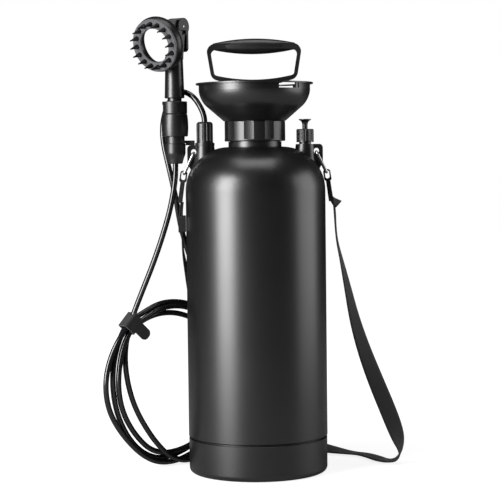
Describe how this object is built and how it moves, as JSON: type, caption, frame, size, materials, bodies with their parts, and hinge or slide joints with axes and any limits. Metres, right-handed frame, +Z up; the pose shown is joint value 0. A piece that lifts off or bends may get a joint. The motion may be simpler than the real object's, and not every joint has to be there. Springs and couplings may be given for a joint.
{
  "type": "portable shower",
  "caption": "Hand-pumped pressure shower: tank with filling funnel, pump with D handle, relief valve, coiled hose with ring spray handset, and webbing carry strap",
  "frame": {"origin": "centre of the tank's base, on the floor it stands on", "axes": "+Z up along the tank's axis; -Y towards the viewer of the picture; +X to the side with the relief valve, -X to the side with the handset"},
  "size_m": [0.4131, 0.227, 0.6085],
  "materials": {
    "tank_plastic": "satin black polyethylene with a fine moulded grain",
    "trim_plastic": "satin black moulded fittings",
    "head_plastic": "dark grey satin moulding",
    "face_plastic": "light grey polished ring",
    "lever_plastic": "black satin lever",
    "nozzle_rubber": "soft black cones",
    "seal_rubber": "black seals",
    "rod_steel": "drawn tube",
    "spring_steel": "drawn wire",
    "link_wire": "bright plated wire",
    "dip_plastic": "grey tube and strainer",
    "hose": "smooth glossy black hose",
    "tie_fabric": "black hook-and-loop band",
    "hook_plastic": "black moulded hooks and slider",
    "webbing": "black woven webbing"
  },
  "bodies": {
    "tank": {"tank_shell": "tank_plastic", "foot_cup": "trim_plastic", "neck_gasket": "seal_rubber", "funnel": "tank_plastic", "collar_nut": "trim_plastic", "outlet_fitting": "trim_plastic", "outlet_nut": "trim_plastic", "dip_tube": "dip_plastic", "dip_filter": "dip_plastic", "relief_body": "trim_plastic", "relief_cap": "trim_plastic", "relief_spring": "spring_steel", "coupling_body": "trim_plastic", "coupling_collar": "trim_plastic", "coupling_spring": "spring_steel", "hose_nut": "trim_plastic", "handset_clip": "trim_plastic", "hose_outlet_run": "hose", "hose_handset_run": "hose", "hose_coil": "hose", "hose_tie": "tie_fabric", "link_right": "link_wire", "link_left": "link_wire", "snap_hook_right": "hook_plastic", "snap_hook_left": "hook_plastic", "strap_webbing": "webbing", "strap_slider": "hook_plastic"},
    "pump_seal": {"pump_seal": "seal_rubber"},
    "pump": {"pump_cap": "trim_plastic", "rod_bush": "trim_plastic", "pump_barrel": "trim_plastic", "foot_valve": "seal_rubber"},
    "plunger": {"pump_rod": "rod_steel", "piston": "trim_plastic", "piston_cup": "seal_rubber", "pump_handle": "trim_plastic"},
    "relief": {"relief_knob": "trim_plastic", "relief_seal": "seal_rubber"},
    "handset": {"swivel_nipple": "trim_plastic", "handset_handle": "tank_plastic", "head_shell": "head_plastic", "face_plate": "face_plastic", "nozzle_mat": "nozzle_rubber", "trigger_pin": "spring_steel"},
    "trigger": {"trigger": "lever_plastic"},
    "valve_stem": {"valve_stem": "spring_steel"},
    "sleeve": {"coupling_sleeve": "trim_plastic"},
    "gate_right": {"snap_gate_right": "hook_plastic"},
    "gate_left": {"snap_gate_left": "hook_plastic"}
  },
  "joints": [
    {"name": "pump_lift", "type": "slide", "parent": "tank", "child": "pump_seal", "axis": [0, 0, 1], "range_m": [0, 0.36]},
    {"name": "pump_unscrew", "type": "hinge", "parent": "pump_seal", "child": "pump", "pos_m": [0, 0, 0.48], "axis": [0, 0, 1], "range_deg": [0, 360]},
    {"name": "pump_stroke", "type": "slide", "parent": "pump", "child": "plunger", "axis": [0, 0, 1], "range_m": [0, 0.22]},
    {"name": "relief_pull", "type": "slide", "parent": "tank", "child": "relief", "axis": [0, 0, 1], "range_m": [0, 0.005], "stiffness_N_per_m": 400, "deforming": ["relief_spring"]},
    {"name": "handset_swivel", "type": "hinge", "parent": "tank", "child": "handset", "pos_m": [-0.1065, -0.003, 0.5], "axis": [0, 0, 1], "range_deg": [-150, 50]},
    {"name": "trigger_press", "type": "hinge", "parent": "handset", "child": "trigger", "pos_m": [-0.10142, 0.00443, 0.597], "axis": [-0.8251, 0.565, 0], "range_deg": [0, 8], "stiffness_Nm_per_rad": 0.3},
    {"name": "valve_push", "type": "slide", "parent": "handset", "child": "valve_stem", "axis": [-0.565, -0.8251, 0], "range_m": [0, 0.0036]},
    {"name": "sleeve_pull", "type": "slide", "parent": "tank", "child": "sleeve", "axis": [0, 0, -1], "range_m": [0, 0.004], "stiffness_N_per_m": 500, "deforming": ["coupling_spring"]},
    {"name": "gate_right_swing", "type": "hinge", "parent": "tank", "child": "gate_right", "pos_m": [0.10026, 0, 0.39211], "axis": [0, -1, 0], "range_deg": [0, 8], "stiffness_Nm_per_rad": 0.02},
    {"name": "gate_left_swing", "type": "hinge", "parent": "tank", "child": "gate_left", "pos_m": [-0.10026, 0, 0.39211], "axis": [0, 1, 0], "range_deg": [0, 8], "stiffness_Nm_per_rad": 0.02}
  ],
  "couplings": [
    {"joint": "valve_push", "follows": "trigger_press", "m_per_rad": 0.024}
  ]
}
